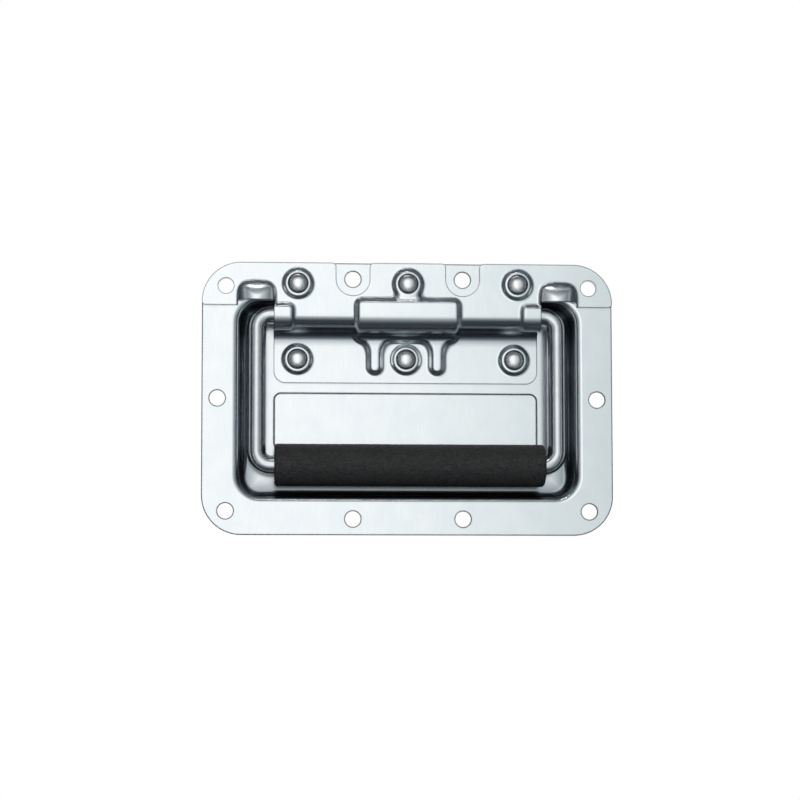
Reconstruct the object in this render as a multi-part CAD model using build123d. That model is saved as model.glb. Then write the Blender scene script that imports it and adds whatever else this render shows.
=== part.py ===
"""Recessed, sprung lifting handle for a flight case or cabinet.

A deep-drawn steel dish carries an 8 mm steel bail with a moulded grip.  A pressed hinge plate,
riveted to the flange and to the floor of the dish, traps the two ends of the bail, and two torsion
springs under its central hump fold the bail back into the dish.

The pieces are drawn lying down: X to the right, Y up the face, Z out of the face, with Z = 0 on the
back of the flange.  The last step stands them up, so that the handle faces -Y and +Z is up.
Lengths are in millimetres and angles in degrees.
"""

import os

from build123d import *

# ---------------------------------------------------------------- driving dimensions
SHEET = 1.2  # thickness of the dish and of the hinge plate

FLANGE_WIDTH = 172.0
FLANGE_HEIGHT = 114.0
FLANGE_CORNER = 16.5

SIDE_RIM = 15.5  # flange between the pan's wall and the outer edge, at the sides
END_RIM = 16.1  # and above and below
PAN_WIDTH = FLANGE_WIDTH - 2 * SIDE_RIM
PAN_HEIGHT = FLANGE_HEIGHT - 2 * END_RIM
PAN_CORNER = 9.0
PAN_DRAFT = 2.5
LIP_RADIUS = 3.0  # rolled edge between flange and wall
FLOOR_RADIUS = 3.0

HOLE_RADIUS = 3.25
CORNER_HOLE_MARGIN = 10.0  # from the outer edges to the middle of each corner hole
SIDE_HOLE_MARGIN = 6.5
EDGE_HOLE_MARGIN = 6.75
EDGE_BREAK = 0.25  # small bevel that punching leaves round the blank and the holes

ROD_RADIUS = 4.0
ROD_BEND = 6.0  # centre-line radius of every bend
ROD_GAP = 0.3  # between the rod and the sheet around it
ROD_BELOW_WALL = 5.0  # hinge axis below the upper wall of the pan
LEG_FROM_WALL = 7.3  # bail leg to the side wall of the pan
GRIP_ABOVE_WALL = 13.4  # middle of the grip above the lower wall of the pan
ROD_END_X = 3.0  # the two ends stop this far from the middle

HINGE_Y = PAN_HEIGHT / 2 - ROD_BELOW_WALL
BAIL_WIDTH = PAN_WIDTH - 2 * LEG_FROM_WALL  # between the centre lines of the legs
GRIP_Y = GRIP_ABOVE_WALL - PAN_HEIGHT / 2

GRIP_RADIUS = 8.9
GRIP_FROM_LEG = 6.5  # each end of the grip to the middle of the leg
GRIP_LENGTH = BAIL_WIDTH - 2 * GRIP_FROM_LEG
GRIP_SLIP = 1.0  # the sleeve sits a little to the right on the rod
GRIP_FLOOR_GAP = 0.4
GRIP_BORE_GAP = 0.05
GRIP_END_ROUND = 0.9

PAN_DEPTH = ROD_RADIUS + ROD_GAP + GRIP_RADIUS + GRIP_FLOOR_GAP  # flange face to floor

PLATE_HALF_WIDTH = BAIL_WIDTH / 2 - 7.2  # of the part of the hinge plate that goes down into the dish
PLATE_FOOT_Y = HINGE_Y - 28.0  # its lower edge on the floor
PLATE_FOOT_CORNER = 5.0
PLATE_WING_Y = HINGE_Y + 3.0  # lower edge of the wings beside the hinge
PLATE_WING_CORNER = 3.0
PLATE_FLOOR_BEND = 2.4  # front radius between the wall and the foot

RIVET_FROM_END = 10.0  # rivets to the side edge of the plate
RIVET_FROM_TOP = 8.9
RIVET_BELOW_HINGE = 17.9
RIVET_X = PLATE_HALF_WIDTH - RIVET_FROM_END
RIVET_UPPER_Y = FLANGE_HEIGHT / 2 - RIVET_FROM_TOP
RIVET_LOWER_Y = HINGE_Y - RIVET_BELOW_HINGE
RIVET_SHANK = 2.4
RIVET_HEAD = 4.4
RIVET_HEAD_HEIGHT = 1.9
RIVET_TAIL = 3.5
RIVET_TAIL_HEIGHT = 1.3
BOSS_BASE = 6.6  # bosses that lift the rivets clear of the mounting face
BOSS_TOP = 5.1
BOSS_RISE = 1.5
NESTING_GAP = 0.04

CORNER_HOLES = (FLANGE_WIDTH - 2 * CORNER_HOLE_MARGIN, FLANGE_HEIGHT - 2 * CORNER_HOLE_MARGIN)
SIDE_HOLES = FLANGE_WIDTH - 2 * SIDE_HOLE_MARGIN
EDGE_HOLES = (RIVET_X, FLANGE_HEIGHT - 2 * EDGE_HOLE_MARGIN)  # midway between the rivets

NOTCH_RADIUS = 7.0
NOTCH_MOUTH_ROUND = 1.6

HUMP_BASE_X = 22.6  # half width of the central hump over the springs
HUMP_TOP_Y = HINGE_Y + 6.8
HUMP_CORNER = 3.4

COLLAR_BASE_X = PLATE_HALF_WIDTH - 9.2  # the small humps at the mouths of the hinge start here
COLLAR_RISE = 1.2
COLLAR_TOP_Y = HINGE_Y + 4.5
COLLAR_CORNER = 1.8

RIB_HALF_WIDTH = 3.9  # channels over the spring legs
RIB_END_Y = PLATE_FOOT_Y + 3.0

HOOD_HALF_WIDTH = 7.8  # hoods that stop the bail legs when it is open
HOOD_LIP_Y = HINGE_Y + 5.0
HOOD_TOP_Y = HINGE_Y + 13.4
HOOD_RISE = 3.6
HOOD_CORNER = 4.6
HOOD_ROUND = 3.0

SPRING_WIRE = 1.8
SPRING_GAP = 0.35  # between the coil and the rod, and between the coil and the hump
SPRING_TURNS = 3.5
SPRING_INNER_X = 5.0
SPRING_LEG_X = 13.2
SPRING_LEG_END_Y = RIB_END_Y + 3.2
SPRING_LEG_BEND = 1.9
SPRING_SEAT_GAP = 0.1  # between the lying leg and the floor
TANG_HOLE_RADIUS = 1.15
TANG_PAST_AXIS = 2.6

LABEL_WIDTH = 2 * PLATE_HALF_WIDTH  # raised label panel in the floor, between hinge plate and grip
LABEL_HIDDEN = 2.0  # how far it runs in behind the grip
LABEL_TOP_Y = PLATE_FOOT_Y - 4.0
LABEL_LOW_Y = GRIP_Y + GRIP_RADIUS - LABEL_HIDDEN
LABEL_HEIGHT = LABEL_TOP_Y - LABEL_LOW_Y
LABEL_CENTRE_Y = (LABEL_TOP_Y + LABEL_LOW_Y) / 2
LABEL_CORNER = 3.2
LABEL_RISE = 0.5

# ---------------------------------------------------------------- levels and radii that follow
FLANGE_FACE = SHEET
PLATE_FACE = FLANGE_FACE + SHEET
FLOOR_FACE = FLANGE_FACE - PAN_DEPTH
FLOOR_BACK = FLOOR_FACE - SHEET
FOOT_FACE = FLOOR_FACE + SHEET

TUNNEL = ROD_RADIUS + ROD_GAP  # inside radius of the plate around the rod
HINGE_Z = FLANGE_FACE - TUNNEL
COIL_RADIUS = ROD_RADIUS + SPRING_GAP + SPRING_WIRE / 2
COIL_TUNNEL = COIL_RADIUS + SPRING_WIRE / 2 + SPRING_GAP
HUMP_RISE = COIL_TUNNEL - TUNNEL
SADDLE_HALF_WIDTH = PLATE_HALF_WIDTH - 2.0
SADDLE_FACE = HINGE_Z - TUNNEL
SADDLE_Y = HINGE_Y - TUNNEL + 0.2
HOOD_X = BAIL_WIDTH / 2
FAR = 4 * FLANGE_WIDTH


def prism(sketch, low, high):
    """A sketch on the face, made solid between two levels."""
    return Pos(0, 0, low) * extrude(sketch, high - low)


def rod_along_x(radius, half_length):
    """A cylinder on the hinge axis, centred on the middle of the handle."""
    return Pos(0, HINGE_Y, HINGE_Z) * Rot(0, 90, 0) * Cylinder(radius, 2 * half_length)


def section(outline, half_length):
    """A closed outline of (y, z) edges, made solid across the handle."""
    face = make_face(outline)
    return extrude(face, half_length, dir=(1, 0, 0), both=True)


def mirrored(solid):
    """A solid together with its mirror image on the other side of the handle."""
    return [solid, mirror(solid, Plane.YZ)]


def spots(spacing):
    """The four corners of a hole rectangle."""
    half_x, half_y = spacing[0] / 2, spacing[1] / 2
    return [(x, y) for x in (-half_x, half_x) for y in (-half_y, half_y)]


def hole_cutters(points):
    """Drills that go through the flange and whatever lies on it."""
    return [Pos(x, y, 0) * Cylinder(HOLE_RADIUS, 2 * PAN_DEPTH) for x, y in points]


def edge_cutters(points, level):
    """Bevels round the holes in a face at the given level."""
    cone = Cone(HOLE_RADIUS, HOLE_RADIUS + 2 * EDGE_BREAK, 2 * EDGE_BREAK)
    return [Pos(x, y, level) * cone for x, y in points]


ALL_HOLES = spots(CORNER_HOLES) + spots(EDGE_HOLES) + [(-SIDE_HOLES / 2, 0), (SIDE_HOLES / 2, 0)]
UPPER_RIVETS = [(x, RIVET_UPPER_Y) for x in (-RIVET_X, 0.0, RIVET_X)]
LOWER_RIVETS = [(x, RIVET_LOWER_Y) for x in (-RIVET_X, 0.0, RIVET_X)]


def bosses(points, level, shrink=0.0):
    """Low cones on a surface at the given level, one for each rivet."""
    cone = Cone(BOSS_BASE - shrink, BOSS_TOP - shrink, BOSS_RISE)
    return [Pos(x, y, level + BOSS_RISE / 2) * cone for x, y in points]


def shank_cutters(points):
    """Holes for the rivets, straight through both sheets."""
    return [Pos(x, y, 0) * Cylinder(RIVET_SHANK, 4 * PAN_DEPTH) for x, y in points]


# ---------------------------------------------------------------- dish
def pan_block(grow):
    """The space inside the pan, or, grown by the sheet, everything up to its back."""
    outline = RectangleRounded(PAN_WIDTH + 2 * grow, PAN_HEIGHT + 2 * grow, PAN_CORNER + grow)
    block = extrude(Pos(0, 0, FLANGE_FACE) * outline, -(PAN_DEPTH + grow), taper=PAN_DRAFT)
    floor_edges = block.faces().sort_by(Axis.Z)[0].edges()
    return fillet(floor_edges, FLOOR_RADIUS + grow)


def saddle_block(grow):
    """The shelf behind the bail's ends, as the space that it takes from the pan."""
    edge_y, face_z, foot_z = SADDLE_Y + grow, SADDLE_FACE - grow, FLOOR_FACE - grow
    radius = FLOOR_RADIUS + grow
    bend = ThreePointArc(
        (0, edge_y, foot_z + radius),
        (0, edge_y - radius + radius * 0.70711, foot_z + radius - radius * 0.70711),
        (0, edge_y - radius, foot_z),
    )
    low_z, high_y = foot_z - 5.0, FLANGE_HEIGHT / 2
    outline = (
        Polyline((0, high_y, face_z), (0, edge_y, face_z), (0, edge_y, foot_z + radius))
        + bend
        + Polyline(
            (0, edge_y - radius, foot_z),
            (0, edge_y - radius, low_z),
            (0, high_y, low_z),
            (0, high_y, face_z),
        )
    )
    return section(outline, SADDLE_HALF_WIDTH - grow)


def is_round_pan(edge):
    """Whether an edge of the flange lies round the pan and not along the outside."""
    middle = edge.center()
    inside_x = abs(middle.X) < (FLANGE_WIDTH - SIDE_RIM) / 2
    inside_y = abs(middle.Y) < (FLANGE_HEIGHT - END_RIM) / 2
    return inside_x and inside_y


def build_dish():
    """The drawn dish: flange, rolled lip, pan, shelf for the bail, label panel and rivet bosses."""
    flange = prism(RectangleRounded(FLANGE_WIDTH, FLANGE_HEIGHT, FLANGE_CORNER), 0, FLANGE_FACE)
    flange = chamfer(flange.edges().group_by(Axis.Z)[-1], EDGE_BREAK)
    dish = flange + pan_block(SHEET)
    back_edge = dish.edges().filter_by_position(Axis.Z, -0.01, 0.01).filter_by(is_round_pan)
    dish = fillet(back_edge, LIP_RADIUS - SHEET)
    dish -= pan_block(0)
    front_edges = dish.edges().filter_by_position(Axis.Z, FLANGE_FACE - 0.01, FLANGE_FACE + 0.01)
    dish = fillet(front_edges.filter_by(is_round_pan), LIP_RADIUS)

    pan_back = pan_block(SHEET)
    dish += saddle_block(0) & pan_back
    dish -= saddle_block(SHEET)
    below_flange = Pos(0, 0, -FAR / 2) * Box(FAR, FAR, FAR)
    above_step = Pos(0, SADDLE_Y + FAR / 2, 0) * Box(FAR, FAR, FAR)
    coil_pocket = rod_along_x(COIL_TUNNEL + SHEET, HUMP_BASE_X - HUMP_RISE + SHEET)
    dish += coil_pocket & below_flange & above_step
    rod_pocket = rod_along_x(TUNNEL + SHEET, SADDLE_HALF_WIDTH) & saddle_block(0)
    dish += rod_pocket
    dish -= rod_along_x(TUNNEL, SADDLE_HALF_WIDTH + 1.0)
    dish -= rod_along_x(COIL_TUNNEL, HUMP_BASE_X - HUMP_RISE)

    label = RectangleRounded(LABEL_WIDTH, LABEL_HEIGHT, LABEL_CORNER)
    label = extrude(Pos(0, LABEL_CENTRE_Y, 0) * label, LABEL_RISE, taper=45)
    dish += Pos(0, 0, FLOOR_FACE) * label
    dish -= Pos(0, 0, FLOOR_BACK) * label

    dish += bosses(UPPER_RIVETS, FLANGE_FACE, NESTING_GAP)
    dish += bosses(LOWER_RIVETS, FLOOR_FACE, NESTING_GAP)
    dish -= bosses(UPPER_RIVETS, 0, NESTING_GAP)
    dish -= bosses(LOWER_RIVETS, FLOOR_BACK, NESTING_GAP)
    dish -= shank_cutters(UPPER_RIVETS + LOWER_RIVETS)
    dish -= hole_cutters(ALL_HOLES)
    dish -= edge_cutters(ALL_HOLES, FLANGE_FACE)
    return dish


# ---------------------------------------------------------------- hinge plate
def plate_body(depth):
    """Everything behind the plate's face, or behind its back when depth is the sheet."""
    radius = TUNNEL + SHEET - depth
    top_z, wall_y, foot_z = PLATE_FACE - depth, HINGE_Y - radius, FOOT_FACE - depth
    bend = PLATE_FLOOR_BEND + depth
    high_y, low_y = FLANGE_HEIGHT / 2, PLATE_FOOT_Y
    back_z = FLOOR_FACE - 3.0
    outline = (
        Line((0, high_y, top_z), (0, HINGE_Y, top_z))
        + ThreePointArc(
            (0, HINGE_Y, top_z),
            (0, HINGE_Y - radius * 0.70711, HINGE_Z + radius * 0.70711),
            (0, wall_y, HINGE_Z),
        )
        + Line((0, wall_y, HINGE_Z), (0, wall_y, foot_z + bend))
        + ThreePointArc(
            (0, wall_y, foot_z + bend),
            (0, wall_y - bend * 0.29289, foot_z + bend * 0.29289),
            (0, wall_y - bend, foot_z),
        )
        + Polyline(
            (0, wall_y - bend, foot_z),
            (0, low_y, foot_z),
            (0, low_y, back_z),
            (0, high_y, back_z),
            (0, high_y, top_z),
        )
    )
    return section(outline, FLANGE_WIDTH / 2)


def hump(half_base, top_y, rise, corner, depth):
    """A raised band over the rod with sloping ends: flat on top, round over the rod, flat down the wall."""
    outer = TUNNEL + rise + SHEET - depth
    top_z = PLATE_FACE + rise - depth
    foot_z = FOOT_FACE - depth
    slope = rise
    round_part = chamfer(rod_along_x(outer, half_base).edges().filter_by(GeomType.CIRCLE), slope)
    face_part = Pos(0, (HINGE_Y + top_y) / 2, top_z - 3.0) * Box(2 * half_base, top_y - HINGE_Y, 6.0)
    face_part = fillet(face_part.edges().filter_by(Axis.Z).group_by(Axis.Y)[-1], corner)
    rim = face_part.faces().sort_by(Axis.Z)[-1].edges()
    face_part = chamfer([e for e in rim if e.center().Y > HINGE_Y + 0.1], slope)
    wall_y = HINGE_Y - outer
    wall_part = Pos(0, wall_y + 3.0, (HINGE_Z + foot_z) / 2) * Box(2 * half_base, 6.0, HINGE_Z - foot_z)
    low_edges = wall_part.edges().filter_by(Axis.Z).group_by(Axis.Y)[0]
    wall_part = chamfer(low_edges, slope)
    return [round_part, face_part, wall_part]


def rib(depth):
    """The raised channel over one spring leg, from the hump down the foot."""
    length = HINGE_Y - TUNNEL - RIB_END_Y
    slot = Rot(0, 0, 90) * SlotOverall(length, 2 * RIB_HALF_WIDTH)
    slot = Pos(SPRING_LEG_X, RIB_END_Y + length / 2, 0) * slot
    channel = prism(slot, FOOT_FACE - depth - 1.0, FOOT_FACE + HUMP_RISE - depth)
    rim = channel.faces().sort_by(Axis.Z)[-1].edges()
    return chamfer(rim, HUMP_RISE)


def hood(depth):
    """The hood over one bail leg, open at its lower lip."""
    half, top_y = HOOD_HALF_WIDTH - depth, HOOD_TOP_Y - depth
    low_y, top_z = HOOD_LIP_Y - 8.0, PLATE_FACE + HOOD_RISE - depth
    block = Pos(HOOD_X, (low_y + top_y) / 2, top_z / 2 - 1.0) * Box(2 * half, top_y - low_y, top_z + 2.0)
    block = fillet(block.edges().filter_by(Axis.Z).group_by(Axis.Y)[-1], HOOD_CORNER - depth)
    rim = [e for e in block.faces().sort_by(Axis.Z)[-1].edges() if e.center().Y > low_y + 0.1]
    return fillet(rim, HOOD_ROUND - depth)


def plate_outline():
    """What is left of the plate's blank, seen from the front."""
    wing_height = FLANGE_HEIGHT / 2 - PLATE_WING_Y
    wings = Pos(0, PLATE_WING_Y + wing_height / 2, 0) * Rectangle(FLANGE_WIDTH, wing_height)
    wings = fillet(wings.vertices().group_by(Axis.Y)[0], PLATE_WING_CORNER)
    wings &= RectangleRounded(FLANGE_WIDTH, FLANGE_HEIGHT, FLANGE_CORNER)
    lip = Pos(HOOD_X, HOOD_LIP_Y - FLANGE_CORNER / 2, 0) * Rectangle(2 * HOOD_HALF_WIDTH, FLANGE_CORNER)
    wings -= mirrored(lip)
    foot_height = FLANGE_HEIGHT / 2 - 4.0 - PLATE_FOOT_Y
    foot = Pos(0, PLATE_FOOT_Y + foot_height / 2, 0) * Rectangle(2 * PLATE_HALF_WIDTH, foot_height)
    foot = fillet(foot.vertices().group_by(Axis.Y)[0], PLATE_FOOT_CORNER)
    outline = wings + foot
    notch_x, notch_y = EDGE_HOLES[0] / 2, EDGE_HOLES[1] / 2
    notch = Circle(NOTCH_RADIUS) + Pos(0, FLANGE_CORNER / 2, 0) * Rectangle(2 * NOTCH_RADIUS, FLANGE_CORNER)
    outline -= mirrored(Pos(notch_x, notch_y, 0) * notch)
    mouths = [
        v
        for v in outline.vertices()
        if v.Y > FLANGE_HEIGHT / 2 - 0.01 and abs(abs(v.X) - notch_x) < NOTCH_RADIUS + 0.1
    ]
    return fillet(mouths, NOTCH_MOUTH_ROUND)


def build_plate():
    """The pressed hinge plate, bent over the bail's ends and riveted to flange and floor."""
    plate = plate_body(0)
    inside = plate_body(SHEET)
    for depth, grow in ((0, True), (SHEET, False)):
        shapes = hump(HUMP_BASE_X - depth * 0.5, HUMP_TOP_Y - depth * 0.5, HUMP_RISE, HUMP_CORNER, depth)
        collar_half = (PLATE_HALF_WIDTH + 5.0 - COLLAR_BASE_X - depth * 0.5) / 2
        collar = hump(collar_half, COLLAR_TOP_Y - depth * 0.5, COLLAR_RISE, COLLAR_CORNER, depth)
        collar_x = COLLAR_BASE_X + depth * 0.5 + collar_half
        for piece in collar:
            shapes += mirrored(Pos(collar_x, 0, 0) * piece)
        shapes += mirrored(rib(depth)) + mirrored(hood(depth))
        shapes += bosses(UPPER_RIVETS, PLATE_FACE - depth) + bosses(LOWER_RIVETS, FOOT_FACE - depth)
        if grow:
            plate += shapes
        else:
            inside += shapes
    plate -= inside
    plate &= prism(plate_outline(), FLOOR_FACE, PLATE_FACE + 10.0)
    plate -= shank_cutters(UPPER_RIVETS + LOWER_RIVETS)
    plate -= hole_cutters(ALL_HOLES)
    return plate


# ---------------------------------------------------------------- bail and grip
def build_bail():
    """One 8 mm rod, bent four times, with a cross hole near each end for the spring's tang."""
    leg_x, low_y = BAIL_WIDTH / 2, GRIP_Y
    path = FilletPolyline(
        (-ROD_END_X, HINGE_Y, HINGE_Z),
        (-leg_x, HINGE_Y, HINGE_Z),
        (-leg_x, low_y, HINGE_Z),
        (leg_x, low_y, HINGE_Z),
        (leg_x, HINGE_Y, HINGE_Z),
        (ROD_END_X, HINGE_Y, HINGE_Z),
        radius=ROD_BEND,
    )
    start = Plane(origin=path @ 0, z_dir=path % 0)
    bail = sweep(start * Circle(ROD_RADIUS), path=path)
    tang_hole = Rot(90, 0, 0) * Cylinder(TANG_HOLE_RADIUS, 4 * ROD_RADIUS)
    tang_hole = Pos(SPRING_INNER_X, HINGE_Y, HINGE_Z) * tang_hole
    return bail - mirrored(tang_hole)


def build_grip():
    """The moulded sleeve on the lower run of the bail."""
    sleeve = Rot(0, 90, 0) * Cylinder(GRIP_RADIUS, GRIP_LENGTH)
    sleeve = fillet(sleeve.edges().filter_by(GeomType.CIRCLE), GRIP_END_ROUND)
    sleeve -= Rot(0, 90, 0) * Cylinder(ROD_RADIUS + GRIP_BORE_GAP, GRIP_LENGTH + 2)
    return Pos(GRIP_SLIP, GRIP_Y, HINGE_Z) * sleeve


# ---------------------------------------------------------------- rivets and springs
def build_rivet(x, y, face):
    """A domed rivet through both sheets, upset behind; face is the plate's level there."""
    head_z = face + BOSS_RISE
    dome_radius = (RIVET_HEAD**2 + RIVET_HEAD_HEIGHT**2) / (2 * RIVET_HEAD_HEIGHT)
    dome = Pos(0, 0, RIVET_HEAD_HEIGHT - dome_radius) * Sphere(dome_radius)
    dome &= Pos(0, 0, RIVET_HEAD_HEIGHT / 2) * Cylinder(RIVET_HEAD, RIVET_HEAD_HEIGHT)
    shank = Pos(0, 0, -SHEET) * Cylinder(RIVET_SHANK, 2 * SHEET)
    tail = Pos(0, 0, -2 * SHEET - RIVET_TAIL_HEIGHT / 2) * Cylinder(RIVET_TAIL, RIVET_TAIL_HEIGHT)
    tail = chamfer(tail.edges().group_by(Axis.Z)[0], 0.4)
    rivet = dome + shank + tail
    return Pos(x, y, head_z) * rivet


def build_spring():
    """The right torsion spring: tang through the rod, coil round it, leg lying on the floor."""
    wire = SPRING_WIRE / 2
    coil_y, leg_z = HINGE_Y - COIL_RADIUS, FLOOR_FACE + wire + SPRING_SEAT_GAP
    coil_length = SPRING_LEG_X - SPRING_INNER_X
    on_axis = Plane(origin=(SPRING_INNER_X, HINGE_Y, HINGE_Z), x_dir=(0, 1, 0), z_dir=(1, 0, 0))
    coil_path = on_axis * Helix(coil_length / SPRING_TURNS, coil_length, COIL_RADIUS)
    coil_start = Plane(origin=coil_path @ 0, z_dir=coil_path % 0)
    coil = sweep(coil_start * Circle(wire), path=coil_path, is_frenet=True)
    leg_path = FilletPolyline(
        (SPRING_LEG_X, coil_y, HINGE_Z),
        (SPRING_LEG_X, coil_y, leg_z),
        (SPRING_LEG_X, SPRING_LEG_END_Y, leg_z),
        radius=SPRING_LEG_BEND,
    )
    leg = sweep(Plane(origin=leg_path @ 0, z_dir=leg_path % 0) * Circle(wire), path=leg_path)
    tang_length = COIL_RADIUS + TANG_PAST_AXIS
    tang = Pos(SPRING_INNER_X, HINGE_Y + COIL_RADIUS - tang_length / 2, HINGE_Z)
    tang = tang * Rot(90, 0, 0) * Cylinder(wire, tang_length)
    knees = [Pos(*point) * Sphere(wire) for point in (coil_path @ 0, coil_path @ 1)]
    return coil + [leg, tang] + knees


# ---------------------------------------------------------------- the whole handle
def biggest(shape):
    """The main solid of a shape, without the slivers that cutting can leave."""
    return shape.solids().sort_by(SortBy.VOLUME)[-1]


def stand_up(shape):
    """Turns a piece from lying face up to facing -Y with +Z up."""
    return Pos(0, 0, 0) * Rot(90, 0, 0) * shape


PIECES = {
    "dish": biggest(build_dish()),
    "hinge_plate": biggest(build_plate()),
    "bail": build_bail(),
    "grip": build_grip(),
    "spring_right": build_spring(),
}
PIECES["spring_left"] = mirror(PIECES["spring_right"], Plane.YZ)
for side, x in (("left", -RIVET_X), ("middle", 0.0), ("right", RIVET_X)):
    PIECES["rivet_upper_" + side] = build_rivet(x, RIVET_UPPER_Y, PLATE_FACE)
    PIECES["rivet_lower_" + side] = build_rivet(x, RIVET_LOWER_Y, FOOT_FACE)

os.makedirs("parts", exist_ok=True)
for name, piece in PIECES.items():
    standing = stand_up(piece)
    standing.label = name
    export_step(standing, "parts/" + name + ".step")
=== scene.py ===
"""Dressed model of a recessed, sprung case handle, in metres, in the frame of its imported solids.

X runs to the right along the grip, Z up towards the hinge and Y into the panel, so that the front of
the handle faces -Y.  Sizes inside the classes are in millimetres and turned into metres by MM.
"""

from __future__ import annotations

import logging
import math
from dataclasses import dataclass, field, replace
from enum import Enum

import bmesh
import bpy
import numpy as np
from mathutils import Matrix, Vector

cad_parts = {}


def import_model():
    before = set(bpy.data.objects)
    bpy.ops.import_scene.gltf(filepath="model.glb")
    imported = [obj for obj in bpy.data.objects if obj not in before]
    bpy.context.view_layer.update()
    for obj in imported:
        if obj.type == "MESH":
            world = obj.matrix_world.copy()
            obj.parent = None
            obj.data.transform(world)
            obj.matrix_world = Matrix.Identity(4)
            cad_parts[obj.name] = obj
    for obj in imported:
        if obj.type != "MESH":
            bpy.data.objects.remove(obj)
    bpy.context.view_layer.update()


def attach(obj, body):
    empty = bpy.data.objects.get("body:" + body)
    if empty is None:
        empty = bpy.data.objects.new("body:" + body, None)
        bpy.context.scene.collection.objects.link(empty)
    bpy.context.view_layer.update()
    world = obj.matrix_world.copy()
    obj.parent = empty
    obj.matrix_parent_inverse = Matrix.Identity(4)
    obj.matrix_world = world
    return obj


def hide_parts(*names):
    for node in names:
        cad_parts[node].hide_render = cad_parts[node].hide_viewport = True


LOG = logging.getLogger("handle")
MM = 0.001
# Y of the faces that the rivet heads sit on, on the flange and on the foot, in millimetres.
UPPER_SEAT = -3.9
LOWER_SEAT = 9.7
# Depths that the ramp of painted shade over a sheet's walls covers, in metres.
DEPTH_RANGE = (-0.005, 0.015)
# Values that a noise texture mostly lies between, and its octaves in clouds and in grain.
NOISE_RANGE = (0.3, 0.7)
CLOUD_DETAIL = 3.0
GRAIN_DETAIL = 2.0
# Normal's Y over which the painted highlight sets in, on what faces straight out.
HIGHLIGHT_FACING = (-0.968, -0.998)
# Rays of the bevel texture that finds the sheared edges, for the painted shade line along them.
EDGE_SAMPLES = 6
# Points closer than this, in metres, are merged.
MERGE_DISTANCE = 1e-7
# Rows and least angle, in degrees, of the bevel along a sheet's edges.
BREAK_SEGMENTS = 3
BREAK_ANGLE = 55.0

RGB = tuple[float, float, float]
Triple = tuple[float, float, float]
Span = tuple[float, float]
Stops = tuple[tuple[float, RGB], ...]


# ------------------------------------------------------------------ node help
def rgba(sockets: bpy.types.bpy_prop_collection, name: str) -> bpy.types.NodeSocket:
    """Find the colour socket of that name."""
    return next(socket for socket in sockets if socket.name == name and socket.type == "RGBA")


def maths(
    tree: bpy.types.NodeTree, operation: str, first: bpy.types.NodeSocket, second: bpy.types.NodeSocket
) -> bpy.types.NodeSocket:
    """Combine two values by a Math node.

    Args:
        tree: The node tree.
        operation: MULTIPLY, MAXIMUM or another of the node's operations.
        first: One value.
        second: The other.

    Returns:
        The result.
    """
    both = tree.nodes.new("ShaderNodeMath")
    both.operation = operation
    tree.links.new(first, both.inputs[0])
    tree.links.new(second, both.inputs[1])
    return both.outputs[0]


def span_map(
    tree: bpy.types.NodeTree, value: bpy.types.NodeSocket, span: Span, kind: str = "SMOOTHSTEP"
) -> bpy.types.NodeSocket:
    """Carry a value to 0 at the start of a span and to 1 at its end, and hold it beyond.

    Args:
        tree: The material's node tree.
        value: What is carried over.
        span: Start and end, in either order.
        kind: SMOOTHSTEP or LINEAR.

    Returns:
        The new value.
    """
    node = tree.nodes.new("ShaderNodeMapRange")
    node.interpolation_type = kind
    node.inputs["From Min"].default_value, node.inputs["From Max"].default_value = span
    tree.links.new(value, node.inputs["Value"])
    return node.outputs["Result"]


def size_map(tree: bpy.types.NodeTree, value: bpy.types.NodeSocket, span: Span) -> bpy.types.NodeSocket:
    """Do what span_map does, with the value's size, so that both sides of zero are alike.

    Args:
        tree: The material's node tree.
        value: What is carried over.
        span: Sizes at the start and at the end.

    Returns:
        The new value.
    """
    size = tree.nodes.new("ShaderNodeMath")
    size.operation = "ABSOLUTE"
    tree.links.new(value, size.inputs[0])
    return span_map(tree, size.outputs[0], span)


def colour_ramp(tree: bpy.types.NodeTree, value: bpy.types.NodeSocket, stops: Stops) -> bpy.types.NodeSocket:
    """Turn a value into a colour by a ramp.

    Args:
        tree: The material's node tree.
        value: Where on the ramp, from 0 to 1.
        stops: Places and their colours, in rising order.

    Returns:
        The colour.
    """
    node = tree.nodes.new("ShaderNodeValToRGB")
    elements = node.color_ramp.elements
    for element, (place, colour) in zip(elements, (stops[0], stops[-1])):
        element.position = place
        element.color = (*colour, 1.0)
    for place, colour in stops[1:-1]:
        elements.new(place).color = (*colour, 1.0)
    tree.links.new(value, node.inputs["Fac"])
    return node.outputs["Color"]


def blend(
    tree: bpy.types.NodeTree, share: bpy.types.NodeSocket, colour: bpy.types.NodeSocket, other: RGB
) -> bpy.types.NodeSocket:
    """Mix a colour towards a constant one.

    Args:
        tree: The material's node tree.
        share: 0 for the colour, 1 for the constant.
        colour: The colour.
        other: The constant.

    Returns:
        The mixed colour.
    """
    mix = tree.nodes.new("ShaderNodeMix")
    mix.data_type = "RGBA"
    rgba(mix.inputs, "B").default_value = (*other, 1.0)
    tree.links.new(share, mix.inputs["Factor"])
    tree.links.new(colour, rgba(mix.inputs, "A"))
    return rgba(mix.outputs, "Result")


def coordinates(tree: bpy.types.NodeTree, kind: str) -> bpy.types.Node:
    """Split the object's own coordinates, or its own normals, into X, Y and Z.

    Args:
        tree: The material's node tree.
        kind: Object or Normal.

    Returns:
        The node with the three outputs.
    """
    where = tree.nodes.new("ShaderNodeTexCoord")
    apart = tree.nodes.new("ShaderNodeSeparateXYZ")
    tree.links.new(where.outputs[kind], apart.inputs["Vector"])
    return apart


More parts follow.
